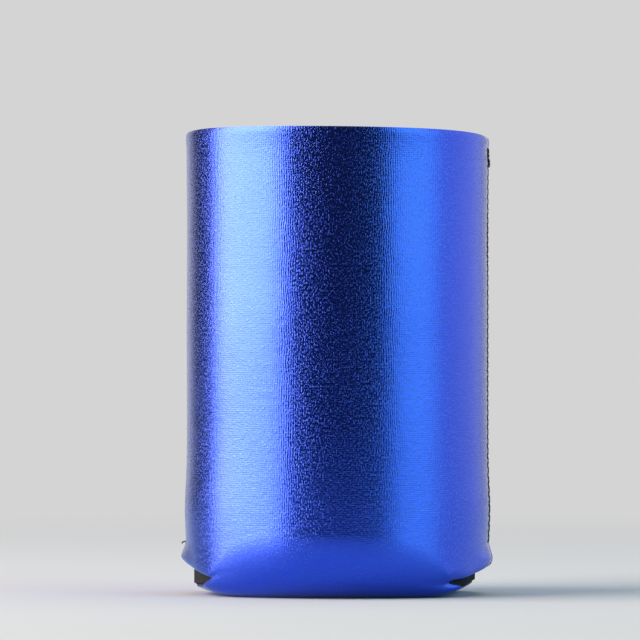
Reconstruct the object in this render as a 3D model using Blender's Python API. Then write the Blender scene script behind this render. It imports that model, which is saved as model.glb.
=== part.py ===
"""A can cooler sleeve: one die-cut sheet of black foam with a metallic knit face, folded under into a
base and sewn up both sides. Metres, +Z up, standing on its base, with the front panel towards -Y."""

import math

import bpy
import bmesh

# The can pocket and the sheet that makes it
POCKET_RADIUS = 0.0329
SHEET_THICKNESS = 0.0037

# The standing height, and how the cut top edge runs
SLEEVE_HEIGHT = 0.1120
TOP_CORNER_DROP = 0.0014
TOP_CORNER_SHARPNESS = 4.4
TOP_EDGE_LEAN = 0.0004
LIP_FLARE = 0.00045
LIP_FLARE_LENGTH = 0.0050
HEM_FLARE = 0.00045
HEM_FLARE_HEIGHT = 0.0205
HEM_FLARE_LENGTH = 0.0080

# The folded bottom: a rounded toe at front and back, and a base between them
TOE_HEIGHT_MIDDLE = 0.0153
TOE_HEIGHT_CORNER = 0.0061
TOE_CORNER_SHARPNESS = 4.4
TOE_DEPTH_MIDDLE = 0.0120
TOE_DEPTH_CORNER = 0.0070
TOE_DEPTH_SHARPNESS = 1.6
BASE_HALF_WIDTH = 0.0340
BASE_TOE_NARROWING = 0.0020
TOE_SPREAD_SHARPNESS = 1.25
BASE_SIDE_SHIFT = -0.0008
BASE_TOE_SHIFT = 0.0004
BASE_TOE_RISE = 0.0026
BASE_MIDDLE_RISE = 0.0026
BASE_RISE_LEAN = 0.0004
BASE_RISE_SHARPNESS = 5.0
BASE_FLAT_SHARE = 0.34
BRIDGE_ANGLE = math.radians(51.5)

# The notch cut out at each bottom corner, and the loose corners beside it
NOTCH_HEIGHT = 0.0040
CORNER_HEIGHT = 0.0086
CUT_EDGE_LEAN = 0.00075
CUT_EDGE_CLEARANCE = 0.0003
LEFT_CORNER_FLARE = 0.0015
RIGHT_CORNER_FLARE = 0.0011
CORNER_FLARE_HEIGHT = 0.0092
CORNER_SPLIT = 0.0008
CORNER_FLARE_START = math.radians(67.0)
TOE_FADE_END = math.radians(66.0)

# The side seams
SEAM_GAP = 0.0008
SEAM_END_HEIGHT = 0.0126
SEAM_START_DROP = 0.0022
THREAD_RADIUS = 0.0002
THREAD_CLEARANCE = 0.0003
STITCH_PITCH = 0.0023
STITCH_WIDTH = 0.0026
THREAD_TAIL_LENGTH = 0.0012
THREAD_TAIL_DROP = 0.0004

# How finely the sheet is divided
BRIDGE_COLUMN_COUNT = 9
FLAP_COLUMN_COUNT = 7
BASE_ROW_COUNT = 2
LOWER_TOE_ROW_COUNT = 4
UPPER_TOE_ROW_COUNT = 3
WALL_STEPS = (0.0, 0.09, 0.22, 0.6, 0.9, 0.965, 1.0)

OUTER_RADIUS = POCKET_RADIUS + SHEET_THICKNESS
BASE_TOE_HALF_WIDTH = BASE_HALF_WIDTH - BASE_TOE_NARROWING
QUARTER_TURN = math.pi / 2
BRIDGE_ROWS = BASE_ROW_COUNT + LOWER_TOE_ROW_COUNT
WALL_ROWS = len(WALL_STEPS) - 1
PANEL_ROWS = UPPER_TOE_ROW_COUNT + WALL_ROWS
HALF_COLUMNS = BRIDGE_COLUMN_COUNT + FLAP_COLUMN_COUNT
HALF_ROWS = BRIDGE_ROWS + PANEL_ROWS


def smooth_step(value):
    """0 below 0, 1 above 1, and an even ease between them."""
    held = min(max(value, 0.0), 1.0)
    return held * held * (3.0 - 2.0 * held)


def mix(start, end, share):
    return start + (end - start) * share


def wall_radius(angle, height):
    """The outer radius of the wall, which opens a little at the lip and at the foot of each seam."""
    lip = LIP_FLARE * math.exp((height - SLEEVE_HEIGHT) / LIP_FLARE_LENGTH)
    hem = HEM_FLARE * math.exp(-(((height - HEM_FLARE_HEIGHT) / HEM_FLARE_LENGTH) ** 2))
    return OUTER_RADIUS + lip + hem * math.sin(angle) ** 4


def top_height(angle):
    """The height of the cut top edge, which drops at the seams and leans a little to the right."""
    corner = TOP_CORNER_DROP * abs(angle / QUARTER_TURN) ** TOP_CORNER_SHARPNESS
    return SLEEVE_HEIGHT - corner - TOP_EDGE_LEAN * math.sin(angle)


def base_rise(angle, bulge=0.0):
    """How far the underside lifts off the table towards its side edges, and most at the middle line."""
    outward = (abs(angle) / BRIDGE_ANGLE - BASE_FLAT_SHARE) / (1.0 - BASE_FLAT_SHARE)
    middle_rise = BASE_MIDDLE_RISE + BASE_RISE_LEAN * angle / BRIDGE_ANGLE
    return mix(BASE_TOE_RISE, middle_rise, bulge) * min(max(outward, 0.0), 1.0) ** BASE_RISE_SHARPNESS


def toe_height(angle):
    """Where the wall starts to turn under: high at the middle of a panel, and low at its notches."""
    if abs(angle) <= BRIDGE_ANGLE:
        towards_corner = abs(angle / BRIDGE_ANGLE) ** TOE_CORNER_SHARPNESS
        return mix(TOE_HEIGHT_MIDDLE, TOE_HEIGHT_CORNER, towards_corner)
    beside_notch = (abs(angle) - BRIDGE_ANGLE) / (QUARTER_TURN - BRIDGE_ANGLE)
    return mix(TOE_HEIGHT_CORNER, SEAM_END_HEIGHT, beside_notch)


def toe_fade(angle):
    """1 over the base, easing to 0 along the loose corner, which doesn't turn under."""
    return 1.0 - smooth_step((abs(angle) - BRIDGE_ANGLE) / (TOE_FADE_END - BRIDGE_ANGLE))


def toe_depth(angle):
    """How far the toe turns in under the sleeve."""
    towards_corner = min(abs(angle) / BRIDGE_ANGLE, 1.0) ** TOE_DEPTH_SHARPNESS
    return mix(TOE_DEPTH_MIDDLE, TOE_DEPTH_CORNER, towards_corner) * toe_fade(angle)


def toe_turn(angle, height):
    """How far round the toe a height lies, from 0 at the wall to a quarter turn at the base."""
    top = toe_height(angle)
    down = (top - height) / (top - base_rise(angle))
    return math.asin(min(max(down, 0.0), 1.0))


def cut_height(angle):
    """The height of the diagonal cut along a loose corner, which rises from the notch to the seam."""
    beside_notch = (abs(angle) - BRIDGE_ANGLE) / (QUARTER_TURN - BRIDGE_ANGLE)
    return mix(NOTCH_HEIGHT, CORNER_HEIGHT, beside_notch) - CUT_EDGE_LEAN * math.sin(angle)


def notch_turn(angle):
    """How far round the toe the line from one notch's point to the other lies."""
    left = toe_turn(-BRIDGE_ANGLE, cut_height(-BRIDGE_ANGLE))
    right = toe_turn(BRIDGE_ANGLE, cut_height(BRIDGE_ANGLE))
    return mix(left, right, (angle / BRIDGE_ANGLE + 1.0) / 2.0)


def toe_spread(angle, turn):
    """How far a column moves sideways below the notches, where the round wall becomes the flat base."""
    across = min(max(angle / BRIDGE_ANGLE, -1.0), 1.0)
    round_x = OUTER_RADIUS * math.sin(across * BRIDGE_ANGLE)
    flat_x = BASE_TOE_HALF_WIDTH * across + BASE_TOE_SHIFT * across * across
    start = math.sin(notch_turn(across * BRIDGE_ANGLE))
    below_notch = max(math.sin(turn) - start, 0.0) / (1.0 - start)
    return (flat_x - round_x) * below_notch**TOE_SPREAD_SHARPNESS * toe_fade(angle)


def panel_point(angle, height):
    """A point on the outside of the front panel, its toe and its loose corners."""
    radius = wall_radius(angle, height)
    turn = toe_turn(angle, height)
    x = radius * math.sin(angle) + toe_spread(angle, turn)
    y = -radius * math.cos(angle) + toe_depth(angle) * (1.0 - math.cos(turn))
    below_seam = (SEAM_END_HEIGHT - height) / (SEAM_END_HEIGHT - CORNER_FLARE_HEIGHT)
    below_seam = min(max(below_seam, 0.0), 1.0)
    near_seam = smooth_step((abs(angle) - CORNER_FLARE_START) / (QUARTER_TURN - CORNER_FLARE_START))
    flare = RIGHT_CORNER_FLARE if angle > 0.0 else LEFT_CORNER_FLARE
    x += math.copysign(flare * below_seam * near_seam, angle)
    y -= (SEAM_GAP / 2 + CORNER_SPLIT * below_seam) * near_seam
    return x, y, height


def base_point(angle, share):
    """A point on the underside, from the end of the toe (0) to the middle line (1)."""
    toe_y = -OUTER_RADIUS * math.cos(angle) + toe_depth(angle)
    side = angle / BRIDGE_ANGLE
    bulge = 1.0 - (1.0 - share) ** 2
    x = mix(BASE_TOE_HALF_WIDTH, BASE_HALF_WIDTH, bulge) * side
    x += mix(BASE_TOE_SHIFT * side * side, BASE_SIDE_SHIFT, bulge)
    return x, toe_y * (1.0 - share), base_rise(angle, bulge)


def toe_point(angle, turn):
    """A point on the toe by how far round it lies."""
    return panel_point(angle, mix(toe_height(angle), base_rise(angle), math.sin(turn)))


def column_angle(column):
    """The angle round the sleeve of a column of the sheet, from 0 at the middle of a panel."""
    steps = abs(column)
    if steps <= BRIDGE_COLUMN_COUNT:
        angle = BRIDGE_ANGLE * steps / BRIDGE_COLUMN_COUNT
    else:
        angle = mix(BRIDGE_ANGLE, QUARTER_TURN, (steps - BRIDGE_COLUMN_COUNT) / FLAP_COLUMN_COUNT)
    return math.copysign(angle, column)


def half_sheet_point(column, row):
    """The folded place of a corner of the sheet's grid, with row 0 at the base's middle line."""
    angle = column_angle(column)
    if row <= BASE_ROW_COUNT:
        return base_point(angle, 1.0 - row / BASE_ROW_COUNT)
    if row < BRIDGE_ROWS:
        share = (row - BASE_ROW_COUNT) / LOWER_TOE_ROW_COUNT
        return toe_point(angle, mix(QUARTER_TURN, notch_turn(angle), share))
    if row <= BRIDGE_ROWS + UPPER_TOE_ROW_COUNT:
        share = (row - BRIDGE_ROWS) / UPPER_TOE_ROW_COUNT
        if abs(angle) <= BRIDGE_ANGLE:
            return toe_point(angle, mix(notch_turn(angle), 0.0, share))
        return panel_point(angle, mix(cut_height(angle), toe_height(angle), share))
    share = WALL_STEPS[row - BRIDGE_ROWS - UPPER_TOE_ROW_COUNT]
    return panel_point(angle, mix(toe_height(angle), top_height(angle), share))


def flap_underside(angle, radius):
    """The height of the cut face under a loose corner, at a radius between its outside and its inside."""
    height = cut_height(angle)
    slope = toe_turn(angle, height) * toe_fade(angle)
    return height + (OUTER_RADIUS - radius) * math.tan(slope)


def inside_point(column, row, outside):
    """The place on the inside of the sheet behind a place on its outside. The foam is squeezed where the
    base passes under a loose corner."""
    angle = column_angle(column)
    x, y, z = outside
    turn = QUARTER_TURN if row <= BASE_ROW_COUNT else toe_turn(angle, z) * toe_fade(angle)
    x -= SHEET_THICKNESS * math.sin(angle) * math.cos(turn)
    y += SHEET_THICKNESS * math.cos(angle) * math.cos(turn)
    z += SHEET_THICKNESS * math.sin(turn)
    around = math.atan2(x, -y)
    if row < BRIDGE_ROWS and abs(around) > BRIDGE_ANGLE and math.hypot(x, y) > POCKET_RADIUS:
        z = min(z, flap_underside(around, math.hypot(x, y)) - CUT_EDGE_CLEARANCE)
    return x, y, z


def folded_sheet_mesh(name):
    """The folded sheet: a flat blank with its four corner notches cut out, folded up and given its inside."""
    sheet = bmesh.new()
    bmesh.ops.create_grid(sheet, x_segments=2 * HALF_COLUMNS, y_segments=2 * HALF_ROWS, size=1.0)
    columns = {corner: round(corner.co.x * HALF_COLUMNS) for corner in sheet.verts}
    rows = {corner: round(corner.co.y * HALF_ROWS) for corner in sheet.verts}
    cut_out = [
        face
        for face in sheet.faces
        if max(abs(columns[corner]) for corner in face.verts) > BRIDGE_COLUMN_COUNT
        and min(abs(rows[corner]) for corner in face.verts) < BRIDGE_ROWS
    ]
    bmesh.ops.delete(sheet, geom=cut_out, context="FACES")
    bmesh.ops.reverse_faces(sheet, faces=sheet.faces)
    outside_faces = list(sheet.faces)
    rims = [edge.link_loops[0] for edge in sheet.edges if edge.is_boundary]
    inside = {}
    for corner in list(sheet.verts):
        outer = half_sheet_point(columns[corner], abs(rows[corner]))
        inner = inside_point(columns[corner], abs(rows[corner]), outer)
        mirror = -1.0 if rows[corner] > 0 else 1.0
        corner.co = (outer[0], outer[1] * mirror, outer[2])
        inside[corner] = sheet.verts.new((inner[0], inner[1] * mirror, inner[2]))
    for face in outside_faces:
        sheet.faces.new([inside[corner] for corner in reversed(face.verts)])
    for rim in rims:
        start, end = rim.vert, rim.link_loop_next.vert
        sheet.faces.new((end, start, inside[start], inside[end]))
    mesh = bpy.data.meshes.new(name)
    sheet.to_mesh(mesh)
    sheet.free()
    mesh.shade_smooth()
    return mesh


def new_material(name, colour, roughness, metallic):
    material = bpy.data.materials.new(name)
    material.use_nodes = True
    shader = material.node_tree.nodes["Principled BSDF"]
    shader.inputs["Base Color"].default_value = (*colour, 1.0)
    shader.inputs["Roughness"].default_value = roughness
    shader.inputs["Metallic"].default_value = metallic
    material.diffuse_color = (*colour, 1.0)
    return material


def add_piece(name, data, material, collection):
    data.materials.append(material)
    piece = bpy.data.objects.new(name, data)
    collection.objects.link(piece)
    return piece


def make_sleeve_sheet(collection):
    """The foam sheet with its knit face, as one solid."""
    blue = new_material("metallic_blue_knit", (0.02, 0.07, 0.60), 0.35, 0.9)
    add_piece("sleeve_sheet", folded_sheet_mesh("sleeve_sheet"), blue, collection)


def seam_route(side, tail_length):
    """The zigzag of stitches down one side seam, with a loose end at the bottom."""
    start = top_height(side * QUARTER_TURN) - SEAM_START_DROP
    turns = 2 * round((start - SEAM_END_HEIGHT) / STITCH_PITCH)
    standoff = THREAD_CLEARANCE + THREAD_RADIUS
    points = []
    for turn in range(turns + 1):
        height = mix(start, SEAM_END_HEIGHT, turn / turns)
        across = STITCH_WIDTH / 2 if turn % 2 else -STITCH_WIDTH / 2
        points.append((side * (wall_radius(QUARTER_TURN, height) + standoff), across, height))
    if tail_length > 0.0:
        x, y, z = points[-1]
        points.append((x + side * tail_length, y, z - THREAD_TAIL_DROP))
    return points


def make_seam_thread(name, side, tail_length, collection, material):
    route = seam_route(side, tail_length)
    thread = bpy.data.curves.new(name, "CURVE")
    thread.dimensions = "3D"
    thread.bevel_depth = THREAD_RADIUS
    thread.bevel_resolution = 2
    thread.use_fill_caps = True
    line = thread.splines.new("POLY")
    line.points.add(len(route) - 1)
    for point, place in zip(line.points, route):
        point.co = (*place, 1.0)
    add_piece(name, thread, material, collection)


def main():
    for old in list(bpy.data.objects):
        bpy.data.objects.remove(old, do_unlink=True)
    collection = bpy.data.collections.new("can_cooler_sleeve")
    bpy.context.scene.collection.children.link(collection)
    make_sleeve_sheet(collection)
    black_thread = new_material("black_polyester_thread", (0.015, 0.015, 0.018), 0.6, 0.0)
    make_seam_thread("left_seam_thread", -1.0, THREAD_TAIL_LENGTH, collection, black_thread)
    make_seam_thread("right_seam_thread", 1.0, 0.0, collection, black_thread)


main()
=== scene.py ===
"""The can cooler sleeve's looks: its metallic knit face, its black foam and its two sewn seams, built
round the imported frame. Metres, +Z up. Run as a script, it makes every piece and the stage."""

import math

import bmesh
import bpy
from bpy.props import FloatProperty, PointerProperty, StringProperty
from mathutils import Matrix, Vector, noise


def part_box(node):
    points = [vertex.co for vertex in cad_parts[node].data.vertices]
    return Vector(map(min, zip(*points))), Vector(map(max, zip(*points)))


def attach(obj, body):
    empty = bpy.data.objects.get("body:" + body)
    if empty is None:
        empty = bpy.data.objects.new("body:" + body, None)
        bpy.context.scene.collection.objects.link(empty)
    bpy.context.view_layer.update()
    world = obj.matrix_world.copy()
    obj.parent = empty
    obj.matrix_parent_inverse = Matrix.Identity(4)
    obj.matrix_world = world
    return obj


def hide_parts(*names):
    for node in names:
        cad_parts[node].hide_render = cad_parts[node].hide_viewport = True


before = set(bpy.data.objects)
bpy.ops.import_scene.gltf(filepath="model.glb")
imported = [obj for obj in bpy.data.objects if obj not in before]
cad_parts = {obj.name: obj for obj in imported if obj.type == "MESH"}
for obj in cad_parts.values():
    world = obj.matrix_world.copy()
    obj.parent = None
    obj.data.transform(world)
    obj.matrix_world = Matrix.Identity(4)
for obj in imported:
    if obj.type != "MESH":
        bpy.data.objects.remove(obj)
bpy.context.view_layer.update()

bl_info = {
    "name": "Can cooler sleeve",
    "version": (1, 0, 0),
    "blender": (4, 5, 0),
    "location": "View3D > Sidebar > Sleeve",
    "description": "A foam can cooler sleeve with a metallic knit face and sewn side seams",
    "category": "Object",
}

BODY = "root"
SHEET_NODE = "sleeve_sheet"
LEFT_NODE = "left_seam_thread"
RIGHT_NODE = "right_seam_thread"
WEAVE_MAP = "Weave"
SHEET_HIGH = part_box(SHEET_NODE)[1]
QUARTER_TURN = math.pi / 2

# The form of the folded sheet, as the part's source has it
LIP_FLARE = 0.00045
LIP_FLARE_LENGTH = 0.0050
TOP_CORNER_DROP = 0.0014
TOP_CORNER_SHARPNESS = 4.4
TOP_EDGE_LEAN = 0.0004
HEM_FLARE = 0.00045
HEM_FLARE_HEIGHT = 0.0205
HEM_FLARE_LENGTH = 0.0080
TOE_HEIGHT_MIDDLE = 0.0153
TOE_HEIGHT_CORNER = 0.0061
TOE_CORNER_SHARPNESS = 4.4
TOE_DEPTH_MIDDLE = 0.0120
TOE_DEPTH_CORNER = 0.0070
TOE_DEPTH_SHARPNESS = 1.6
TOE_SPREAD_SHARPNESS = 1.25
TOE_FADE_END = math.radians(66.0)
BASE_HALF_WIDTH = 0.0340
BASE_TOE_NARROWING = 0.0020
BASE_TOE_HALF_WIDTH = BASE_HALF_WIDTH - BASE_TOE_NARROWING
BASE_SIDE_SHIFT = -0.0008
BASE_TOE_SHIFT = 0.0004
BASE_TOE_RISE = 0.0026
BASE_MIDDLE_RISE = 0.0026
BASE_RISE_LEAN = 0.0004
BASE_RISE_SHARPNESS = 5.0
BASE_FLAT_SHARE = 0.34
BRIDGE_ANGLE = math.radians(51.5)
NOTCH_HEIGHT = 0.0040
CORNER_HEIGHT = 0.0086
CUT_EDGE_LEAN = 0.00075
CUT_EDGE_CLEARANCE = 0.0003
LEFT_CORNER_FLARE = 0.0015
RIGHT_CORNER_FLARE = 0.0011
CORNER_FLARE_HEIGHT = 0.0092
CORNER_FLARE_START = math.radians(67.0)
CORNER_SPLIT = 0.0008
SEAM_END_HEIGHT = 0.0126
SEAM_START_DROP = 0.0022

# How much longer the flat blank is than its panel, from the middle of the base to the top edge
FLAT_BASE_LENGTH = 0.0270

# How the sewing closes the two edges, and how it pinches and dimples the sheet
SEAM_CLOSED_GAP = 0.00025
SEAM_OPEN_GAP = 0.00060
SEAM_MOUTH_GAP = 0.00070
SEAM_PINCH = 0.00065
SEAM_PINCH_HEIGHT = 0.1073
SEAM_PINCH_LENGTH = 0.0019
SEAM_PINCH_WIDTH = 0.0022
SEWN_FADE_LENGTH = 0.0010
HOLE_DIMPLE = 0.00022
HOLE_DIMPLE_WIDTH = 0.00075

# How the surface rolls in at a cut edge, and how far the base's side edges are drawn in below a notch
EDGE_ROLL = 0.00030
EDGE_ROLL_WIDTH = 0.00045
BASE_EDGE_ROLL = 0.0001
BASE_EDGE_ROLL_WIDTH = 0.0008
BASE_EDGE_PULL = 0.0007

# The foam's soft waves, each by its length and its depth. They fade out towards the table.
SOFT_WAVES = ((0.026, 0.00011), (0.009, 0.000028))
WAVE_FREE_HEIGHT = 0.0025

# How finely each layer is divided: columns over the base, beside a notch and along a seam, then rows over
# the base, over each half of the toe and up the wall
KNIT_DIVISIONS = (26, 14, 12, 24, 12, 150)
FOAM_DIVISIONS = (20, 10, 8, 14, 8, 90)
SEAM_ZONE_WIDTH = 0.0050
EDGE_CROWDING = 1.6
LIP_CROWDING = 1.12
SHARP_EDGE_ANGLE = math.radians(40.0)

# The coated knit: the wander of its ribs, the grain and creases of its film, the specks where the film is
# stretched bare, and the weight of each pattern in the relief
RIB_WANDER_LENGTH = 0.0070
RIB_WANDER_REACH = (0.0016, 0.0010, 0.0)
FILM_GRAIN_SIZE = 0.00036
FILM_GRAIN_STRETCH = (1.0, 0.62, 1.0)
FILM_CREASE_SIZE = 0.0016
SPECK_RANGE = (0.50, 0.68)
SPECK_BARENESS = 0.30
FILM_ROUGHNESS = (0.17, 0.25)
LOOP_SHADES = (0.92, 1.04)
KNIT_RELIEF = 0.000014
RIB_WEIGHT = 0.6
LOOP_WEIGHT = 0.6
SPECK_WEIGHT = 1.6
CREASE_WEIGHT = 2.2

# The grain of the other finishes, and how dark and how light it makes them
EDGE_FIBRE_SIZE = 0.0004
EDGE_SHADES = (0.55, 1.3)
FOAM_CELL_SIZE = 0.00045
FOAM_CELL_DEPTH = 0.00012
FOAM_MOTTLE_SIZE = 0.0011
FOAM_SHADES = (0.7, 1.25)
THREAD_FIBRE_SIZE = 0.00018
THREAD_FIBRE_DEPTH = 0.00006
THREAD_SHADES = (0.6, 1.5)

# Where nearly all of a noise lies, its middle, and the whole range of a pattern of ribs
NOISE_RANGE = (0.3, 0.7)
NOISE_MIDDLE = (0.5, 0.5, 0.5)
RIB_RANGE = (0.0, 1.0)

# How a thread lies: each leg crosses the seam on the surface and dives at both ends
STEPS_PER_LEG = 8
DIVE_SHARPNESS = 6
HOLE_DEPTH = 0.00035
THREAD_STANDOFF = -0.00004
THREAD_PINCH_SHARE = 0.5
THREAD_WOBBLE = 0.00016
THREAD_WOBBLE_STEP = 0.7
RIGHT_BACKTACK_LEGS = 4
BACKTACK_LAYERS = 2
TAIL_LENGTH = 0.0013
TAIL_DROP = 0.0004

# The tail's bends, as shares of its length, of the last stitch's distance from the seam and of its drop
TAIL_BENDS = ((0.4, 0.9, 0.2), (0.8, 0.8, 0.6), (1.0, 0.8, 1.4))

# The studio. A softbox stands at a bearing in degrees to the right of the camera, at a distance and a
# height, with its width and length and its brightness in red, green and blue.
SOFTBOXES = (
    ("left_softbox", -73.0, 1.1, 0.6, (1.30, 1.18), (5.9, 5.3, 4.8)),
    ("right_softbox", 59.5, 1.2, 0.6, (0.82, 1.18), (0.9, 1.8, 1.55)),
    ("right_reflector", 112.0, 1.2, 0.6, (1.50, 1.18), (0.58, 0.62, 0.80)),
    ("paper_backdrop_glow", -178.0, 1.9, 0.8, (2.4, 1.6), (0.6, 0.6, 0.6)),
)
TOP_SOFTBOX_PLACE = (0.0, 0.15, 1.9)
TOP_SOFTBOX_SIZE = (2.2, 1.8)
TOP_SOFTBOX_BRIGHTNESS = (1.15, 1.25, 1.4)
ROOM_LIGHT = (0.035, 0.035, 0.04, 1.0)
PAPER_NEAR = 0.20
PAPER_FAR = 0.75
PAPER_ALBEDO = 0.72
PAPER_SQUARES = 8
PAPER_HALF_SIZE = 3.0
PAPER_FRONT = 0.32
SENSOR_WIDTH = 36.0
NEAREST_SEEN = 0.01

# The sockets of a Mix node that mixes colours
MIX_SHARE = 0
MIX_FIRST = 6
MIX_SECOND = 7
MIX_RESULT = 2


class SleeveSizes(bpy.types.PropertyGroup):
    """The sleeve's own sizes. What isn't read from the frame is the real product's."""

    height: FloatProperty(
        name="Height",
        description="Height of the top edge at the middle of a panel",
        default=0.1120,
        unit="LENGTH",
        precision=4,
    )
    lip_flare: FloatProperty(
        name="Lip flare",
        description="How far the mouth opens past the wall",
        default=LIP_FLARE,
        unit="LENGTH",
        precision=5,
    )
    outer_radius: FloatProperty(
        name="Outer radius",
        description="Radius of the wall at mid height, from the frame",
        default=SHEET_HIGH[1] - LIP_FLARE,
        unit="LENGTH",
        precision=4,
    )
    sheet_thickness: FloatProperty(
        name="Sheet thickness",
        description="Foam and knit together",
        default=0.0037,
        unit="LENGTH",
        precision=4,
    )
    knit_thickness: FloatProperty(
        name="Knit thickness",
        description="The coated knit that faces the foam",
        default=0.0005,
        unit="LENGTH",
        precision=5,
    )
    stitch_pitch: FloatProperty(
        name="Stitch pitch",
        description="Height of one full zigzag",
        default=0.0023,
        unit="LENGTH",
        precision=4,
    )
    stitch_width: FloatProperty(
        name="Stitch width",
        description="Distance across the seam between the two rows of needle holes",
        default=0.0026,
        unit="LENGTH",
        precision=4,
    )
    thread_radius: FloatProperty(
        name="Thread radius",
        description="Half the thickness of the sewing thread",
        default=0.00018,
        unit="LENGTH",
        precision=5,
    )


class SleeveColours(bpy.types.PropertyGroup):
    """The finishes' colours, as sRGB hex, and the pitch of the knit."""

    foil: StringProperty(name="Foil", description="Colour of the metallic coating", default="#1E55F3")
    speck: StringProperty(
        name="Speck", description="Colour of the film where the loops stretch it thin", default="#8592D2"
    )
    # The raw edge's dark purple is painted shade: it stands in for the shade along the sleeve's bottom edge
    knit_edge: StringProperty(
        name="Knit edge", description="Colour of the knit's raw edge", default="#33246E"
    )
    foam: StringProperty(name="Foam", description="Colour of the foam", default="#2E2F31")
    thread: StringProperty(name="Thread", description="Colour of the sewing thread", default="#1B1B1F")
    backdrop: StringProperty(name="Backdrop", description="Colour of the studio paper", default="#D4D4D4")
    # Pale, with a painted blue tint that stands in for the sleeve's own blue reflected onto the table
    table: StringProperty(
        name="Table", description="Colour of the glazed table as the sleeve mirrors it", default="#A3BED6"
    )
    wale_pitch: FloatProperty(
        name="Wale pitch",
        description="Distance between the knit's upright ribs",
        default=0.00058,
        unit="LENGTH",
        precision=5,
    )
    course_pitch: FloatProperty(
        name="Course pitch",
        description="Distance between the knit's rows",
        default=0.00050,
        unit="LENGTH",
        precision=5,
    )


class StageSettings(bpy.types.PropertyGroup):
    """Where the camera stands, where it looks and its lens."""

    camera_azimuth: FloatProperty(
        name="Camera azimuth",
        description="How far the camera stands round to the right of the front panel",
        default=math.radians(5.0),
        subtype="ANGLE",
    )
    camera_distance: FloatProperty(
        name="Camera distance", description="From the sleeve's axis", default=1.3, unit="LENGTH"
    )
    camera_height: FloatProperty(
        name="Camera height", description="Above the floor", default=0.0546, unit="LENGTH"
    )
    lens: FloatProperty(name="Lens", description="Focal length on a 36 mm sensor, in mm", default=300.9)
    aim_height: FloatProperty(
        name="Aim height",
        description="Where the view's middle meets the axis",
        default=0.0665,
        unit="LENGTH",
    )
    aim_aside: FloatProperty(
        name="Aim aside",
        description="How far left of the axis the camera aims",
        default=0.00425,
        unit="LENGTH",
    )


def smooth_step(value):
    """0 below 0, 1 above 1, and an even ease between them."""
    held = min(max(value, 0.0), 1.0)
    return held * held * (3.0 - 2.0 * held)


def mix(start, end, share):
    """The value a share of the way from one value to another."""
    return start + (end - start) * share


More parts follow.
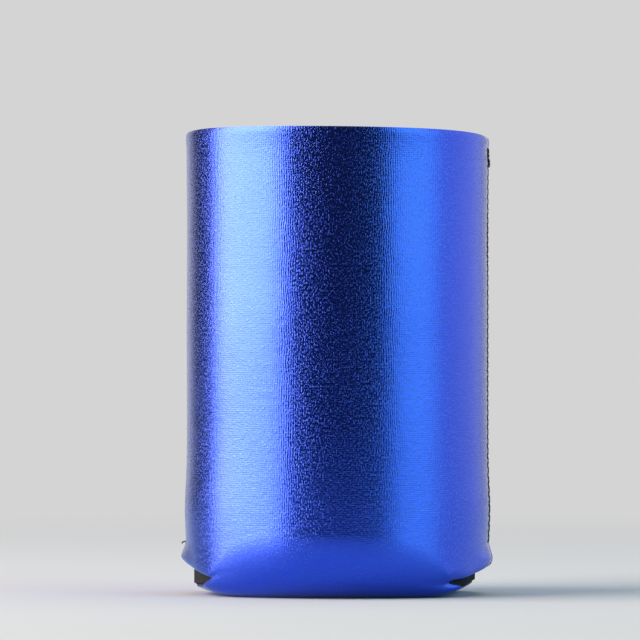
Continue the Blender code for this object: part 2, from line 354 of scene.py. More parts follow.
class SleeveForm:
    """The outside of the folded sheet, by the angle round it and the height up it."""

    def __init__(self, sizes):
        self.sizes = sizes
        self.radius = sizes.outer_radius

    def wall_radius(self, angle, height):
        """The wall's radius, which opens a little at the lip and at the foot of each seam."""
        lip = self.sizes.lip_flare * math.exp((height - self.sizes.height) / LIP_FLARE_LENGTH)
        hem = HEM_FLARE * math.exp(-(((height - HEM_FLARE_HEIGHT) / HEM_FLARE_LENGTH) ** 2))
        return self.radius + lip + hem * math.sin(angle) ** 4

    def top_height(self, angle):
        """The height of the cut top edge, which drops at the seams and leans a little to the right."""
        corner = TOP_CORNER_DROP * abs(angle / QUARTER_TURN) ** TOP_CORNER_SHARPNESS
        return self.sizes.height - corner - TOP_EDGE_LEAN * math.sin(angle)

    def base_rise(self, angle, bulge=0.0):
        """How far the underside lifts off the table towards its side edges. The bulge is 0 at the toe and
        1 at the middle line."""
        outward = (abs(angle) / BRIDGE_ANGLE - BASE_FLAT_SHARE) / (1.0 - BASE_FLAT_SHARE)
        middle_rise = BASE_MIDDLE_RISE + BASE_RISE_LEAN * angle / BRIDGE_ANGLE
        most = mix(BASE_TOE_RISE, middle_rise, bulge)
        return most * min(max(outward, 0.0), 1.0) ** BASE_RISE_SHARPNESS

    def toe_height(self, angle):
        """Where the wall starts to turn under: high at a panel's middle, and low at its notches."""
        if abs(angle) <= BRIDGE_ANGLE:
            towards_corner = abs(angle / BRIDGE_ANGLE) ** TOE_CORNER_SHARPNESS
            return mix(TOE_HEIGHT_MIDDLE, TOE_HEIGHT_CORNER, towards_corner)
        beside_notch = (abs(angle) - BRIDGE_ANGLE) / (QUARTER_TURN - BRIDGE_ANGLE)
        return mix(TOE_HEIGHT_CORNER, SEAM_END_HEIGHT, beside_notch)

    def toe_fade(self, angle):
        """1 over the base, easing to 0 along the loose corner, which doesn't turn under."""
        return 1.0 - smooth_step((abs(angle) - BRIDGE_ANGLE) / (TOE_FADE_END - BRIDGE_ANGLE))

    def toe_depth(self, angle):
        """How far the toe turns in under the sleeve."""
        towards_corner = min(abs(angle) / BRIDGE_ANGLE, 1.0) ** TOE_DEPTH_SHARPNESS
        return mix(TOE_DEPTH_MIDDLE, TOE_DEPTH_CORNER, towards_corner) * self.toe_fade(angle)

    def toe_spread(self, angle, turn):
        """How far a column moves sideways below the notches, where the round wall becomes the flat base."""
        across = min(max(angle / BRIDGE_ANGLE, -1.0), 1.0)
        round_x = self.radius * math.sin(across * BRIDGE_ANGLE)
        flat_x = BASE_TOE_HALF_WIDTH * across + BASE_TOE_SHIFT * across * across
        start = math.sin(self.notch_turn(across * BRIDGE_ANGLE))
        below_notch = max(math.sin(turn) - start, 0.0) / (1.0 - start)
        return (flat_x - round_x) * below_notch**TOE_SPREAD_SHARPNESS * self.toe_fade(angle)

    def toe_turn(self, angle, height):
        """How far round the toe a height lies, from 0 at the wall to a quarter turn at the base."""
        top = self.toe_height(angle)
        down = (top - height) / (top - self.base_rise(angle))
        return math.asin(min(max(down, 0.0), 1.0))

    def stitch_count(self, side):
        """How many full zigzags fit between the seam's two ends."""
        start = self.top_height(side * QUARTER_TURN) - SEAM_START_DROP
        return round((start - SEAM_END_HEIGHT) / self.sizes.stitch_pitch)

    def stitches_down(self, height, side):
        """How many zigzags a height lies below the seam's start."""
        start = self.top_height(side * QUARTER_TURN) - SEAM_START_DROP
        return (start - height) / (start - SEAM_END_HEIGHT) * self.stitch_count(side)

    def seam_gap(self, height, side):
        """How far the two sewn edges stand apart: closed at each stitch, and open above the first."""
        turn = self.stitches_down(height, math.copysign(1.0, side))
        between = 0.5 - 0.5 * math.cos(2.0 * math.tau * turn)
        return mix(SEAM_CLOSED_GAP, SEAM_OPEN_GAP, between) + SEAM_MOUTH_GAP * smooth_step(-turn)

    def panel_point(self, angle, height):
        """A point on the outside of the front panel, its toe and its loose corners."""
        radius = self.wall_radius(angle, height)
        turn = self.toe_turn(angle, height)
        x = radius * math.sin(angle) + self.toe_spread(angle, turn)
        y = -radius * math.cos(angle) + self.toe_depth(angle) * (1.0 - math.cos(turn))
        below_seam = (SEAM_END_HEIGHT - height) / (SEAM_END_HEIGHT - CORNER_FLARE_HEIGHT)
        below_seam = min(max(below_seam, 0.0), 1.0)
        from_start = (abs(angle) - CORNER_FLARE_START) / (QUARTER_TURN - CORNER_FLARE_START)
        near_seam = smooth_step(from_start)
        flare = RIGHT_CORNER_FLARE if angle > 0.0 else LEFT_CORNER_FLARE
        x += math.copysign(flare * below_seam * near_seam, angle)
        y -= (self.seam_gap(height, angle) / 2 + CORNER_SPLIT * below_seam) * near_seam
        return x, y, height

    def toe_point(self, angle, turn):
        """A point on the toe by how far round it lies."""
        height = mix(self.toe_height(angle), self.base_rise(angle), math.sin(turn))
        return self.panel_point(angle, height)

    def base_point(self, angle, share):
        """A point on the underside, from the end of the toe (0) to the middle line (1)."""
        toe_y = -self.radius * math.cos(angle) + self.toe_depth(angle)
        bulge = 1.0 - (1.0 - share) ** 2
        side = angle / BRIDGE_ANGLE
        x = mix(BASE_TOE_HALF_WIDTH, BASE_HALF_WIDTH, bulge) * side
        x += mix(BASE_TOE_SHIFT * side * side, BASE_SIDE_SHIFT, bulge)
        return x, toe_y * (1.0 - share), self.base_rise(angle, bulge)

    def cut_height(self, angle):
        """The height of the diagonal cut along a loose corner, from the notch up to the seam."""
        beside_notch = (abs(angle) - BRIDGE_ANGLE) / (QUARTER_TURN - BRIDGE_ANGLE)
        return mix(NOTCH_HEIGHT, CORNER_HEIGHT, beside_notch) - CUT_EDGE_LEAN * math.sin(angle)

    def notch_turn(self, angle):
        """How far round the toe the line from one notch's point to the other lies."""
        left = self.toe_turn(-BRIDGE_ANGLE, self.cut_height(-BRIDGE_ANGLE))
        right = self.toe_turn(BRIDGE_ANGLE, self.cut_height(BRIDGE_ANGLE))
        return mix(left, right, (angle / BRIDGE_ANGLE + 1.0) / 2.0)

    def flap_underside(self, angle, radius):
        """The height of the cut face under a loose corner, at a radius between outside and inside."""
        height = self.cut_height(angle)
        slope = self.toe_turn(angle, height) * self.toe_fade(angle)
        return height + (self.radius - radius) * math.tan(slope)

    def inside_point(self, angle, turn, outside, below_notch):
        """The place on the sheet's inside behind a place on its outside. The foam is squeezed where the
        base passes under a loose corner."""
        thickness = self.sizes.sheet_thickness
        x, y, z = outside
        x -= thickness * math.sin(angle) * math.cos(turn)
        y += thickness * math.cos(angle) * math.cos(turn)
        z += thickness * math.sin(turn)
        around = math.atan2(x, -y)
        out = math.hypot(x, y)
        if below_notch and abs(around) > BRIDGE_ANGLE and out > self.radius - thickness:
            z = min(z, self.flap_underside(around, out) - CUT_EDGE_CLEARANCE)
        return x, y, z


class SheetGrid:
    """How finely a sheet is divided, and where each corner of its grid folds to. The edge pull is how
    far the base's side edges are drawn in."""

    def __init__(self, form, counts, edge_pull):
        bridge_columns, flap_columns, seam_columns, base_rows, toe_rows, wall_rows = counts
        self.form = form
        self.edge_pull = edge_pull
        self.bridge_columns = bridge_columns
        self.flap_columns = flap_columns
        self.seam_columns = seam_columns
        self.base_rows = base_rows
        self.toe_rows = toe_rows
        self.wall_rows = wall_rows
        self.half_columns = bridge_columns + flap_columns + seam_columns
        self.bridge_rows = base_rows + toe_rows
        self.half_rows = base_rows + 2 * toe_rows + wall_rows

    def angle(self, column):
        """Even columns over the base and beside the notch, and fine ones along the seam."""
        seam_zone = SEAM_ZONE_WIDTH / self.form.radius
        steps = abs(column)
        if steps <= self.bridge_columns:
            angle = BRIDGE_ANGLE * steps / self.bridge_columns
        elif steps <= self.bridge_columns + self.flap_columns:
            share = (steps - self.bridge_columns) / self.flap_columns
            angle = mix(BRIDGE_ANGLE, QUARTER_TURN - seam_zone, share)
        else:
            share = (steps - self.bridge_columns - self.flap_columns) / self.seam_columns
            angle = QUARTER_TURN - seam_zone * (1.0 - share) ** EDGE_CROWDING
        return math.copysign(angle, column)

    def cut_roll(self, column, row, height):
        """How far a corner sinks where the surface rolls in at the edges of its notch."""
        angle = self.angle(column)
        inside = (BRIDGE_ANGLE - abs(angle)) * self.form.radius
        above = height - self.form.cut_height(angle)
        if inside < 0.0:
            return EDGE_ROLL * math.exp(-max(above, 0.0) / EDGE_ROLL_WIDTH)
        if row >= self.bridge_rows:
            return EDGE_ROLL * math.exp(-math.hypot(inside, above) / EDGE_ROLL_WIDTH)
        below_notch = min((self.bridge_rows - row) / self.toe_rows, 1.0)
        depth = mix(EDGE_ROLL, BASE_EDGE_ROLL, below_notch)
        return depth * math.exp(-inside / mix(EDGE_ROLL_WIDTH, BASE_EDGE_ROLL_WIDTH, below_notch))

    def place(self, column, row):
        """The folded place of a corner, and its height up the flat blank from the base's middle."""
        form = self.form
        angle = self.angle(column)
        if abs(column) == self.bridge_columns and row < self.bridge_rows:
            below_notch = min((self.bridge_rows - row) / self.toe_rows, 1.0)
            angle -= math.copysign(self.edge_pull * below_notch / form.radius, angle)
        toe_top = FLAT_BASE_LENGTH + form.toe_height(angle)
        base_length = FLAT_BASE_LENGTH - TOE_DEPTH_MIDDLE
        if row <= self.base_rows:
            share = row / self.base_rows
            return form.base_point(angle, 1.0 - share), base_length * share
        if row < self.bridge_rows:
            share = (row - self.base_rows) / self.toe_rows
            turn = mix(QUARTER_TURN, form.notch_turn(angle), share)
            return form.toe_point(angle, turn), mix(toe_top, base_length, turn / QUARTER_TURN)
        if row <= self.bridge_rows + self.toe_rows:
            share = (row - self.bridge_rows) / self.toe_rows
            if abs(angle) <= BRIDGE_ANGLE:
                turn = mix(form.notch_turn(angle), 0.0, share)
                return form.toe_point(angle, turn), mix(toe_top, base_length, turn / QUARTER_TURN)
            height = mix(form.cut_height(angle), form.toe_height(angle), share)
            return form.panel_point(angle, height), height + FLAT_BASE_LENGTH
        share = (row - self.bridge_rows - self.toe_rows) / self.wall_rows
        share = 1.0 - (1.0 - share) ** LIP_CROWDING
        height = mix(form.toe_height(angle), form.top_height(angle), share)
        return form.panel_point(angle, height), height + FLAT_BASE_LENGTH

    def inside(self, column, row, outside):
        """The place on the sheet's inside behind a corner of the grid."""
        form = self.form
        angle = self.angle(column)
        turn = QUARTER_TURN
        if row > self.base_rows:
            turn = form.toe_turn(angle, outside[2]) * form.toe_fade(angle)
        return form.inside_point(angle, turn, outside, row < self.bridge_rows)


def sheet_relief(form, point, angle, back):
    """How far the surface stands out of or sinks into the plain folded form, along its normal."""
    relief = 0.0
    height = point[2]
    for length, depth in SOFT_WAVES:
        relief += depth * noise.noise(Vector(point) / length) * smooth_step(height / WAVE_FREE_HEIGHT)
    from_seam = (QUARTER_TURN - abs(angle)) * form.radius
    sewn = smooth_step((height - SEAM_END_HEIGHT + SEWN_FADE_LENGTH) / SEWN_FADE_LENGTH)
    relief -= EDGE_ROLL * math.exp(-from_seam / EDGE_ROLL_WIDTH)
    relief -= EDGE_ROLL * math.exp(-(form.top_height(angle) - height) / EDGE_ROLL_WIDTH)
    from_pinch = (height - SEAM_PINCH_HEIGHT) / SEAM_PINCH_LENGTH
    relief -= SEAM_PINCH * math.exp(-from_pinch * from_pinch - from_seam / SEAM_PINCH_WIDTH)
    hole_offset = 0.5 if back else 0.0
    turn = form.stitches_down(height, math.copysign(1.0, angle)) + hole_offset
    along = 0.5 + 0.5 * math.cos(math.tau * turn)
    across = (from_seam - form.sizes.stitch_width / 2) / HOLE_DIMPLE_WIDTH
    relief -= HOLE_DIMPLE * sewn * along * along * math.exp(-across * across)
    return relief


def notched_blank(grid):
    """The flat blank with its four corner notches cut out, and each corner's column and row."""
    sheet = bmesh.new()
    bmesh.ops.create_grid(sheet, x_segments=2 * grid.half_columns, y_segments=2 * grid.half_rows, size=1.0)
    columns = {corner: round(corner.co.x * grid.half_columns) for corner in sheet.verts}
    rows = {corner: round(corner.co.y * grid.half_rows) for corner in sheet.verts}
    cut_out = [
        face
        for face in sheet.faces
        if max(abs(columns[corner]) for corner in face.verts) > grid.bridge_columns
        and min(abs(rows[corner]) for corner in face.verts) < grid.bridge_rows
    ]
    bmesh.ops.delete(sheet, geom=cut_out, context="FACES")
    bmesh.ops.reverse_faces(sheet, faces=sheet.faces)
    return sheet, columns, rows


def build_sheet(name, grid, outer_depth, inner_depth, materials):
    """Folds the blank, raises its relief, which fades towards the inside, and makes the layer between two
    depths. The last of its materials is the one at its cut edges."""
    form = grid.form
    outer_share = outer_depth / form.sizes.sheet_thickness
    inner_share = inner_depth / form.sizes.sheet_thickness
    sheet, columns, rows = notched_blank(grid)
    outside_faces = list(sheet.faces)
    rims = [edge.link_loops[0] for edge in sheet.edges if edge.is_boundary]
    flat = {}
    relief = {}
    through = {}
    for corner in sheet.verts:
        column, row, back = columns[corner], abs(rows[corner]), rows[corner] > 0
        outside, flat_height = grid.place(column, row)
        inward = Vector(grid.inside(column, row, outside)) - Vector(outside)
        corner.co = outside
        if back:
            corner.co.y *= -1.0
            inward.y *= -1.0
        angle = grid.angle(column)
        flat[corner] = (angle * form.radius, math.copysign(flat_height, rows[corner]))
        relief[corner] = sheet_relief(form, corner.co, angle, back) - grid.cut_roll(column, row, outside[2])
        through[corner] = inward
    sheet.normal_update()
    plain = {corner: (corner.co.copy(), corner.normal * relief[corner]) for corner in sheet.verts}
    inside = {}
    for corner, (place, raised) in plain.items():
        corner.co = place + raised * (1.0 - outer_share) + through[corner] * outer_share
        inner_place = place + raised * (1.0 - inner_share) + through[corner] * inner_share
        inside[corner] = sheet.verts.new(inner_place)
        flat[inside[corner]] = flat[corner]
    flat_area = 0.0
    for face in outside_faces:
        outline = [Vector(flat[corner]) for corner in face.verts]
        flat_area += abs((outline[2] - outline[0]).cross(outline[3] - outline[1])) / 2
        sheet.faces.new([inside[corner] for corner in reversed(face.verts)])
    for rim in rims:
        start, end = rim.vert, rim.link_loop_next.vert
        made = sheet.faces.new((end, start, inside[start], inside[end]))
        made.material_index = len(materials) - 1
    layer = sheet.loops.layers.uv.new(WEAVE_MAP)
    for face in sheet.faces:
        face.smooth = True
        for loop in face.loops:
            loop[layer].uv = flat[loop.vert]
    mesh = bpy.data.meshes.new(name)
    sheet.to_mesh(mesh)
    sheet.free()
    mesh.set_sharp_from_angle(angle=SHARP_EDGE_ANGLE)
    for material in materials:
        mesh.materials.append(material)
    piece = bpy.data.objects.new(name, mesh)
    bpy.context.scene.collection.objects.link(piece)
    return piece, flat_area


def linear_colour(hex_colour):
    """An sRGB hex colour as linear RGBA."""
    channels = [int(hex_colour[start : start + 2], 16) / 255 for start in (1, 3, 5)]
    linear = [c / 12.92 if c <= 0.04045 else ((c + 0.055) / 1.055) ** 2.4 for c in channels]
    return (*linear, 1.0)


def node(tree, kind, inputs=None, **settings):
    """Adds a node with its settings. An input is a value, or the output that it is linked to."""
    made = tree.nodes.new(kind)
    for name, value in settings.items():
        setattr(made, name, value)
    for key, value in (inputs or {}).items():
        if isinstance(value, bpy.types.NodeSocket):
            tree.links.new(value, made.inputs[key])
        else:
            made.inputs[key].default_value = value
    return made


def new_material(name):
    """An empty material with its tree and its output node."""
    material = bpy.data.materials.new(name)
    material.use_nodes = True
    tree = material.node_tree
    tree.nodes.clear()
    return material, tree, tree.nodes.new("ShaderNodeOutputMaterial")


def ribs(tree, position, pitch):
    """Rounded ribs from 0 to 1, one for each pitch along a position."""
    angle = node(tree, "ShaderNodeMath", {0: position, 1: math.tau / pitch}, operation="MULTIPLY")
    wave = node(tree, "ShaderNodeMath", {0: angle.outputs[0]}, operation="COSINE")
    half = node(tree, "ShaderNodeMath", {0: wave.outputs[0], 1: 0.5, 2: 0.5}, operation="MULTIPLY_ADD")
    return half.outputs[0]


def mottled(tree, colour, pattern, pattern_range, shade_range):
    """A colour that darkens and lightens with a pattern, such as fibres, cells or loops."""
    pattern_low, pattern_high = pattern_range
    darkest, lightest = shade_range
    shade = node(
        tree,
        "ShaderNodeMapRange",
        {
            "Value": pattern,
            "From Min": pattern_low,
            "From Max": pattern_high,
            "To Min": darkest,
            "To Max": lightest,
        },
    )
    shaded = node(
        tree,
        "ShaderNodeMix",
        {MIX_SHARE: 1.0, MIX_FIRST: colour, MIX_SECOND: shade.outputs[0]},
        data_type="RGBA",
        blend_type="MULTIPLY",
    )
    return shaded.outputs[MIX_RESULT]


def foil_coated_knit(colours):
    """Foil-coated polyester jersey: a fine knit with a pressed metallic film. The film follows every
    loop, so the eye sees broad satin reflections broken up by upright ribs and bright specks."""
    material, tree, output = new_material("foil_coated_knit")
    flat = node(tree, "ShaderNodeUVMap", uv_map=WEAVE_MAP).outputs[0]
    wander = node(
        tree,
        "ShaderNodeTexNoise",
        {"Vector": flat, "Scale": 1.0 / RIB_WANDER_LENGTH, "Detail": 3.0, "Roughness": 0.5},
    )
    centred = node(
        tree,
        "ShaderNodeVectorMath",
        {0: wander.outputs["Color"], 1: NOISE_MIDDLE},
        operation="SUBTRACT",
    )
    shifted = node(
        tree,
        "ShaderNodeVectorMath",
        {0: centred.outputs[0], 1: RIB_WANDER_REACH, 2: flat},
        operation="MULTIPLY_ADD",
    )
    sides = node(tree, "ShaderNodeSeparateXYZ", {0: shifted.outputs[0]})
    wales = ribs(tree, sides.outputs["X"], colours.wale_pitch)
    courses = ribs(tree, sides.outputs["Y"], colours.course_pitch)
    loops = node(tree, "ShaderNodeMath", {0: wales, 1: courses}, operation="MULTIPLY").outputs[0]
    stretched = node(tree, "ShaderNodeVectorMath", {0: flat, 1: FILM_GRAIN_STRETCH}, operation="MULTIPLY")
    grain = node(
        tree,
        "ShaderNodeTexNoise",
        {
            "Vector": stretched.outputs[0],
            "Scale": 1.0 / FILM_GRAIN_SIZE,
            "Detail": 2.0,
            "Roughness": 0.6,
        },
    ).outputs["Fac"]
    creases = node(
        tree,
        "ShaderNodeTexNoise",
        {"Vector": flat, "Scale": 1.0 / FILM_CREASE_SIZE, "Detail": 3.0, "Roughness": 0.55},
    ).outputs["Fac"]
    specks = node(
        tree,
        "ShaderNodeMapRange",
        {"Value": grain, "From Min": SPECK_RANGE[0], "From Max": SPECK_RANGE[1]},
        interpolation_type="SMOOTHSTEP",
    ).outputs[0]
    height = 0.0
    for pattern, weight in (
        (wales, RIB_WEIGHT),
        (loops, LOOP_WEIGHT),
        (specks, SPECK_WEIGHT),
        (creases, CREASE_WEIGHT),
    ):
        raised = node(tree, "ShaderNodeMath", {0: pattern, 1: weight, 2: height}, operation="MULTIPLY_ADD")
        height = raised.outputs[0]
    bump = node(tree, "ShaderNodeBump", {"Height": height, "Distance": KNIT_RELIEF, "Strength": 1.0})
    bare = node(tree, "ShaderNodeMath", {0: specks, 1: SPECK_BARENESS}, operation="MULTIPLY")
    film = node(
        tree,
        "ShaderNodeMix",
        {
            MIX_SHARE: bare.outputs[0],
            MIX_FIRST: linear_colour(colours.foil),
            MIX_SECOND: linear_colour(colours.speck),
        },
        data_type="RGBA",
    )
    roughness = node(
        tree,
        "ShaderNodeMapRange",
        {
            "Value": grain,
            "From Min": NOISE_RANGE[0],
            "From Max": NOISE_RANGE[1],
            "To Min": FILM_ROUGHNESS[0],
            "To Max": FILM_ROUGHNESS[1],
        },
    )
    shader = node(
        tree,
        "ShaderNodeBsdfPrincipled",
        {
            "Base Color": mottled(tree, film.outputs[MIX_RESULT], loops, RIB_RANGE, LOOP_SHADES),
            "Roughness": roughness.outputs[0],
            "Metallic": 1.0,
            "Normal": bump.outputs[0],
            "Coat Weight": 1.0,
            "Coat Roughness": 0.18,
            "Coat IOR": 1.55,
            "Coat Normal": bump.outputs[0],
            "Sheen Weight": 0.06,
            "Sheen Roughness": 0.30,
            "Sheen Tint": (0.85, 0.82, 1.0, 1.0),
        },
    )
    tree.links.new(shader.outputs[0], output.inputs["Surface"])
    return material


def raw_knit_edge_painted_shade(colours):
    """The polyester under the film, seen where the blade cut it: dull and slightly fuzzy. Its dark purple
    is painted shade, standing in for the shade along the sleeve's bottom edge, and every cut edge gets it.
    """
    material, tree, output = new_material("raw_knit_edge_painted_shade")
    place = node(tree, "ShaderNodeTexCoord").outputs["Object"]
    fibre = node(
        tree,
        "ShaderNodeTexNoise",
        {"Vector": place, "Scale": 1.0 / EDGE_FIBRE_SIZE, "Detail": 3.0, "Roughness": 0.6},
    ).outputs["Fac"]
    # Painted shade: the edge's dark purple stands in for the shade along the sleeve's bottom edge, while
    # its dull, fuzzy finish is the edge's own
    shader = node(
        tree,
        "ShaderNodeBsdfPrincipled",
        {
            "Base Color": mottled(tree, linear_colour(colours.knit_edge), fibre, NOISE_RANGE, EDGE_SHADES),
            "Roughness": 0.85,
            "Sheen Weight": 0.2,
        },
    )
    tree.links.new(shader.outputs[0], output.inputs["Surface"])
    return material


def open_cell_foam(colours):
    """Black polyurethane foam, sliced and die-cut: a dead matt face pitted with fine open cells."""
    material, tree, output = new_material("open_cell_foam")
    place = node(tree, "ShaderNodeTexCoord").outputs["Object"]
    cells = node(
        tree,
        "ShaderNodeTexVoronoi",
        {"Vector": place, "Scale": 1.0 / FOAM_CELL_SIZE, "Randomness": 1.0},
        feature="F1",
    )
    speckle = node(
        tree,
        "ShaderNodeTexNoise",
        {"Vector": place, "Scale": 1.0 / FOAM_MOTTLE_SIZE, "Detail": 4.0, "Roughness": 0.65},
    ).outputs["Fac"]
    bump = node(
        tree,
        "ShaderNodeBump",
        {"Height": cells.outputs["Distance"], "Distance": FOAM_CELL_DEPTH, "Strength": 0.8},
        invert=True,
    )
    shader = node(
        tree,
        "ShaderNodeBsdfPrincipled",
        {
            "Base Color": mottled(tree, linear_colour(colours.foam), speckle, NOISE_RANGE, FOAM_SHADES),
            "Roughness": 0.95,
            "Specular IOR Level": 0.2,
            "Normal": bump.outputs[0],
        },
    )
    tree.links.new(shader.outputs[0], output.inputs["Surface"])
    return material


def spun_polyester(colours):
    """Black spun polyester thread: twisted staple fibre, soft and faintly hairy, with a weak sheen."""
    material, tree, output = new_material("spun_polyester_thread")
    place = node(tree, "ShaderNodeTexCoord").outputs["Object"]
    fibre = node(
        tree,
        "ShaderNodeTexNoise",
        {"Vector": place, "Scale": 1.0 / THREAD_FIBRE_SIZE, "Detail": 2.0, "Roughness": 0.6},
    ).outputs["Fac"]
    bump = node(
        tree,
        "ShaderNodeBump",
        {"Height": fibre, "Distance": THREAD_FIBRE_DEPTH, "Strength": 0.8},
    )
    shader = node(
        tree,
        "ShaderNodeBsdfPrincipled",
        {
            "Base Color": mottled(tree, linear_colour(colours.thread), fibre, NOISE_RANGE, THREAD_SHADES),
            "Roughness": 0.6,
            "Normal": bump.outputs[0],
            "Sheen Weight": 0.3,
            "Sheen Roughness": 0.5,
        },
    )
    tree.links.new(shader.outputs[0], output.inputs["Surface"])
    return material


def studio_paper(colours):
    """Seamless studio paper, matt and even, on a table. The camera sees it take the sleeve's shadow nearby
    and turn into its own plain colour further off. Every other ray, and so the sleeve's foil, meets the
    table's soft glaze. The glaze is pale with a painted blue, which stands in for the sleeve's own blue
    reflected onto the table."""
    material, tree, output = new_material("studio_paper")
    place = node(tree, "ShaderNodeTexCoord").outputs["Object"]
    distance = node(tree, "ShaderNodeVectorMath", {0: place}, operation="LENGTH")
    far = node(
        tree,
        "ShaderNodeMapRange",
        {"Value": distance.outputs["Value"], "From Min": PAPER_NEAR, "From Max": PAPER_FAR},
        interpolation_type="SMOOTHSTEP",
    )
    lit = node(tree, "ShaderNodeBsdfDiffuse", {"Color": (PAPER_ALBEDO, PAPER_ALBEDO, PAPER_ALBEDO, 1.0)})
    plain = node(tree, "ShaderNodeEmission", {"Color": linear_colour(colours.backdrop), "Strength": 1.0})
    seen = node(tree, "ShaderNodeMixShader", {0: far.outputs[0], 1: lit.outputs[0], 2: plain.outputs[0]})
    # The glaze's pale colour carries a painted blue, standing in for the sleeve's own blue reflected onto
    # the table
    glazed = node(
        tree,
        "ShaderNodeBsdfPrincipled",
        {"Base Color": linear_colour(colours.table), "Roughness": 0.2, "Specular IOR Level": 0.12},
    )
    rays = node(tree, "ShaderNodeLightPath")
    floor = node(
        tree,
        "ShaderNodeMixShader",
        {0: rays.outputs["Is Camera Ray"], 1: glazed.outputs[0], 2: seen.outputs[0]},
    )
    tree.links.new(floor.outputs[0], output.inputs["Surface"])
    return material


def needle_holes(form, side, backtack):
    """The needle's holes down a seam, as zigzags down it, side of it and layers of thread below. A
    backtack's legs are sewn down, back up and down again, so that the seam can't run open."""
    count = 2 * form.stitch_count(side)
    order = [*range(backtack), *range(backtack, 0, -1), *range(count + 1)]
    holes = []
    for number, leg in enumerate(order):
        layer = min(number // backtack, BACKTACK_LAYERS) if leg < backtack else 0
        holes.append((leg / 2, 1.0 if number % 2 else -1.0, layer))
    return holes


def stitch_route(form, side, backtack, inner):
    """One seam's zigzag. The thread crosses the seam on the surface and dives at each needle hole."""
    sizes = form.sizes
    half_width = sizes.stitch_width / 2
    start = form.top_height(side * QUARTER_TURN) - SEAM_START_DROP
    drop = (start - SEAM_END_HEIGHT) / form.stitch_count(side)
    holes = needle_holes(form, side, backtack)
    points = []
    for number, (hole, next_hole) in enumerate(zip(holes, holes[1:])):
        for step in range(STEPS_PER_LEG):
            share = step / STEPS_PER_LEG
            wobble = THREAD_WOBBLE * noise.noise(Vector((side, number * THREAD_WOBBLE_STEP, share)))
            height = start - mix(hole[0], next_hole[0], share) * drop + wobble
            lift = 1.0 - (2.0 * share - 1.0) ** DIVE_SHARPNESS
            standoff = THREAD_STANDOFF + max(hole[2], next_hole[2]) * sizes.thread_radius
            from_pinch = (height - SEAM_PINCH_HEIGHT) / SEAM_PINCH_LENGTH
            standoff -= THREAD_PINCH_SHARE * SEAM_PINCH * math.exp(-from_pinch * from_pinch)
            depth = mix(-HOLE_DEPTH, standoff, lift)
            radius = form.wall_radius(QUARTER_TURN, height) + depth
            if inner:
                radius -= sizes.sheet_thickness + 2.0 * depth
            points.append((side * radius, mix(hole[1], next_hole[1], share) * half_width + wobble, height))
    return points


def build_seam(name, form, side, backtack, tail):
    """The needle thread outside and the bobbin thread inside one seam. A tail is the left seam's loose
    end."""
    curve = bpy.data.curves.new(name, "CURVE")
    curve.dimensions = "3D"
    curve.bevel_depth = form.sizes.thread_radius
    curve.bevel_resolution = 2
    curve.use_fill_caps = True
    outer = stitch_route(form, side, backtack, False)
    if tail:
        x, y, z = outer[-1]
        for out, across, down in TAIL_BENDS:
            outer.append((x - TAIL_LENGTH * out, y * across, z - TAIL_DROP * down))
    for route in (outer, stitch_route(form, side, backtack, True)):
        line = curve.splines.new("POLY")
        line.points.add(len(route) - 1)
        for point, place in zip(line.points, route):
            point.co = (*place, 1.0)
    piece = bpy.data.objects.new(name, curve)
    bpy.context.scene.collection.objects.link(piece)
    return piece


class SLEEVE_OT_knit_face(bpy.types.Operator):
    """Makes the metallic knit that faces the sheet"""

    bl_idname = "sleeve.knit_face"
    bl_label = "Knit face"

    def execute(self, context):
        sizes = context.scene.sleeve_sizes
        grid = SheetGrid(SleeveForm(sizes), KNIT_DIVISIONS, BASE_EDGE_PULL)
        colours = context.scene.sleeve_colours
        materials = [foil_coated_knit(colours), raw_knit_edge_painted_shade(colours)]
        piece, flat_area = build_sheet("knit_face", grid, 0.0, sizes.knit_thickness, materials)
        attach(piece, BODY)
        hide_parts(SHEET_NODE)
        return {"FINISHED"}


class SLEEVE_OT_foam_core(bpy.types.Operator):
    """Makes the black foam behind the knit"""

    bl_idname = "sleeve.foam_core"
    bl_label = "Foam"

    def execute(self, context):
        sizes = context.scene.sleeve_sizes
        grid = SheetGrid(SleeveForm(sizes), FOAM_DIVISIONS, 0.0)
        materials = [open_cell_foam(context.scene.sleeve_colours)]
        piece, _ = build_sheet("foam_core", grid, sizes.knit_thickness, sizes.sheet_thickness, materials)
        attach(piece, BODY)
        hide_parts(SHEET_NODE)
        return {"FINISHED"}


class SLEEVE_OT_seams(bpy.types.Operator):
    """Sews the two side seams"""

    bl_idname = "sleeve.seams"
    bl_label = "Seams"

    def execute(self, context):
        form = SleeveForm(context.scene.sleeve_sizes)
        material = spun_polyester(context.scene.sleeve_colours)
        for name, cad_node, side, backtack, tail in (
            ("left_seam_stitches", LEFT_NODE, -1.0, 0, True),
            ("right_seam_stitches", RIGHT_NODE, 1.0, RIGHT_BACKTACK_LEGS, False),
        ):
            piece = build_seam(name, form, side, backtack, tail)
            piece.data.materials.append(material)
            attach(piece, BODY)
            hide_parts(cad_node)
        return {"FINISHED"}


def bearing(stage, turn):
    """The level direction that lies a turn to the right of the camera, seen from the sleeve."""
    return Matrix.Rotation(stage.camera_azimuth + turn, 3, "Z") @ Vector((0.0, -1.0, 0.0))


def add_softbox(name, place, target, width, height, brightness):
    """An area lamp aimed at a target, even in its brightness, which the camera doesn't see."""
    lamp = bpy.data.lights.new(name, "AREA")
    lamp.shape = "RECTANGLE"
    lamp.size = width
    lamp.size_y = height
    lamp.color = [channel / max(brightness) for channel in brightness]
    lamp.energy = max(brightness) * math.pi * width * height
    softbox = bpy.data.objects.new(name, lamp)
    softbox.location = place
    softbox.rotation_euler = (Vector(target) - Vector(place)).to_track_quat("-Z", "Y").to_euler()
    softbox.visible_camera = False
    bpy.context.scene.collection.objects.link(softbox)


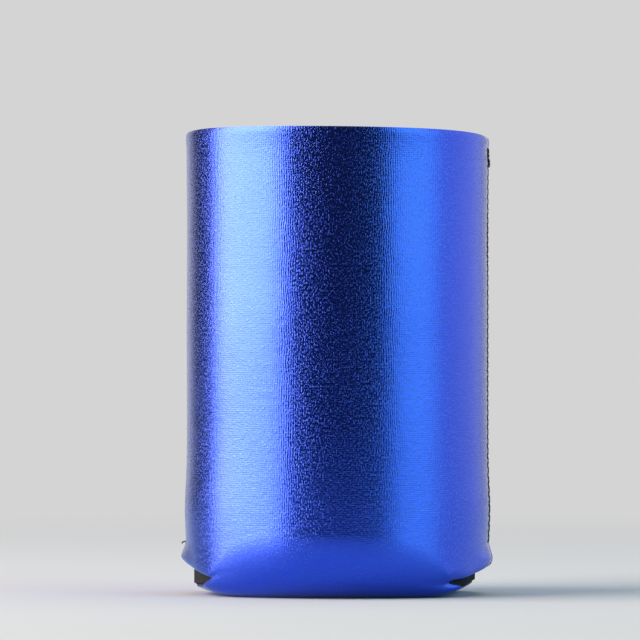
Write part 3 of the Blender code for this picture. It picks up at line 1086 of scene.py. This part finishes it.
class SLEEVE_OT_stage(bpy.types.Operator):
    """Lays the paper, sets the softboxes and the room's own light, and places the camera"""

    bl_idname = "sleeve.stage"
    bl_label = "Stage"

    def execute(self, context):
        scene = context.scene
        stage = scene.sleeve_stage
        colours = scene.sleeve_colours
        self.lay_paper(scene, colours)
        self.light_studio(stage)
        self.tint_studio(scene, colours)
        self.place_camera(scene, stage)
        scene.view_settings.view_transform = "Standard"
        return {"FINISHED"}

    def lay_paper(self, scene, colours):
        """Lays the pale paper that the sleeve stands on."""
        paper = bmesh.new()
        bmesh.ops.create_grid(
            paper, x_segments=PAPER_SQUARES, y_segments=PAPER_SQUARES, size=PAPER_HALF_SIZE
        )
        bmesh.ops.translate(paper, verts=paper.verts, vec=(0.0, PAPER_HALF_SIZE - PAPER_FRONT, 0.0))
        mesh = bpy.data.meshes.new("paper_floor")
        paper.to_mesh(mesh)
        paper.free()
        floor = bpy.data.objects.new("paper_floor", mesh)
        mesh.materials.append(studio_paper(colours))
        scene.collection.objects.link(floor)

    def light_studio(self, stage):
        """Sets up the softboxes round the sleeve and the one above it."""
        for name, turn, distance, height, size, brightness in SOFTBOXES:
            place = bearing(stage, math.radians(turn)) * distance
            place.z = height
            add_softbox(name, place, (0.0, 0.0, height), *size, brightness)
        add_softbox(
            "top_softbox", TOP_SOFTBOX_PLACE, (0.0, 0.0, 0.0), *TOP_SOFTBOX_SIZE, TOP_SOFTBOX_BRIGHTNESS
        )

    def tint_studio(self, scene, colours):
        """A nearly dark room, which the camera sees as the pale backdrop."""
        world = bpy.data.worlds.new("studio")
        world.use_nodes = True
        tree = world.node_tree
        tree.nodes.clear()
        rays = node(tree, "ShaderNodeLightPath")
        room = node(tree, "ShaderNodeBackground", {"Color": ROOM_LIGHT, "Strength": 1.0})
        pale_colour = linear_colour(colours.backdrop)
        pale = node(tree, "ShaderNodeBackground", {"Color": pale_colour, "Strength": 1.0})
        seen = node(
            tree,
            "ShaderNodeMixShader",
            {0: rays.outputs["Is Camera Ray"], 1: room.outputs[0], 2: pale.outputs[0]},
        )
        node(tree, "ShaderNodeOutputWorld", {"Surface": seen.outputs[0]})
        scene.world = world

    def place_camera(self, scene, stage):
        """Puts the camera at its bearing, aimed a little aside so that the sleeve stands off centre."""
        lens = bpy.data.cameras.new("camera")
        lens.lens = stage.lens
        lens.sensor_width = SENSOR_WIDTH
        lens.clip_start = NEAREST_SEEN
        camera = bpy.data.objects.new("camera", lens)
        place = bearing(stage, 0.0) * stage.camera_distance
        place.z = stage.camera_height
        right = Matrix.Rotation(stage.camera_azimuth, 3, "Z") @ Vector((1.0, 0.0, 0.0))
        target = Vector((0.0, 0.0, stage.aim_height)) - right * stage.aim_aside
        camera.location = place
        camera.rotation_euler = (target - place).to_track_quat("-Z", "Y").to_euler()
        scene.collection.objects.link(camera)
        scene.camera = camera


class SLEEVE_PT_panel(bpy.types.Panel):
    """Lists the sleeve's pieces and settings"""

    bl_idname = "SLEEVE_PT_panel"
    bl_label = "Can cooler sleeve"
    bl_space_type = "VIEW_3D"
    bl_region_type = "UI"
    bl_category = "Sleeve"

    def draw(self, context):
        for operator in (SLEEVE_OT_foam_core, SLEEVE_OT_knit_face, SLEEVE_OT_seams, SLEEVE_OT_stage):
            self.layout.operator(operator.bl_idname)
        for group in (
            context.scene.sleeve_sizes,
            context.scene.sleeve_colours,
            context.scene.sleeve_stage,
        ):
            for name in group.__annotations__:
                self.layout.prop(group, name)


CLASSES = (
    SleeveSizes,
    SleeveColours,
    StageSettings,
    SLEEVE_OT_foam_core,
    SLEEVE_OT_knit_face,
    SLEEVE_OT_seams,
    SLEEVE_OT_stage,
    SLEEVE_PT_panel,
)


def register():
    for made in CLASSES:
        bpy.utils.register_class(made)
    bpy.types.Scene.sleeve_sizes = PointerProperty(type=SleeveSizes)
    bpy.types.Scene.sleeve_colours = PointerProperty(type=SleeveColours)
    bpy.types.Scene.sleeve_stage = PointerProperty(type=StageSettings)


def unregister():
    del bpy.types.Scene.sleeve_sizes
    del bpy.types.Scene.sleeve_colours
    del bpy.types.Scene.sleeve_stage
    for made in reversed(CLASSES):
        bpy.utils.unregister_class(made)


def main():
    """Makes every piece and the stage."""
    register()
    bpy.ops.sleeve.foam_core()
    bpy.ops.sleeve.knit_face()
    bpy.ops.sleeve.seams()
    bpy.ops.sleeve.stage()


if __name__ == "__main__":
    main()
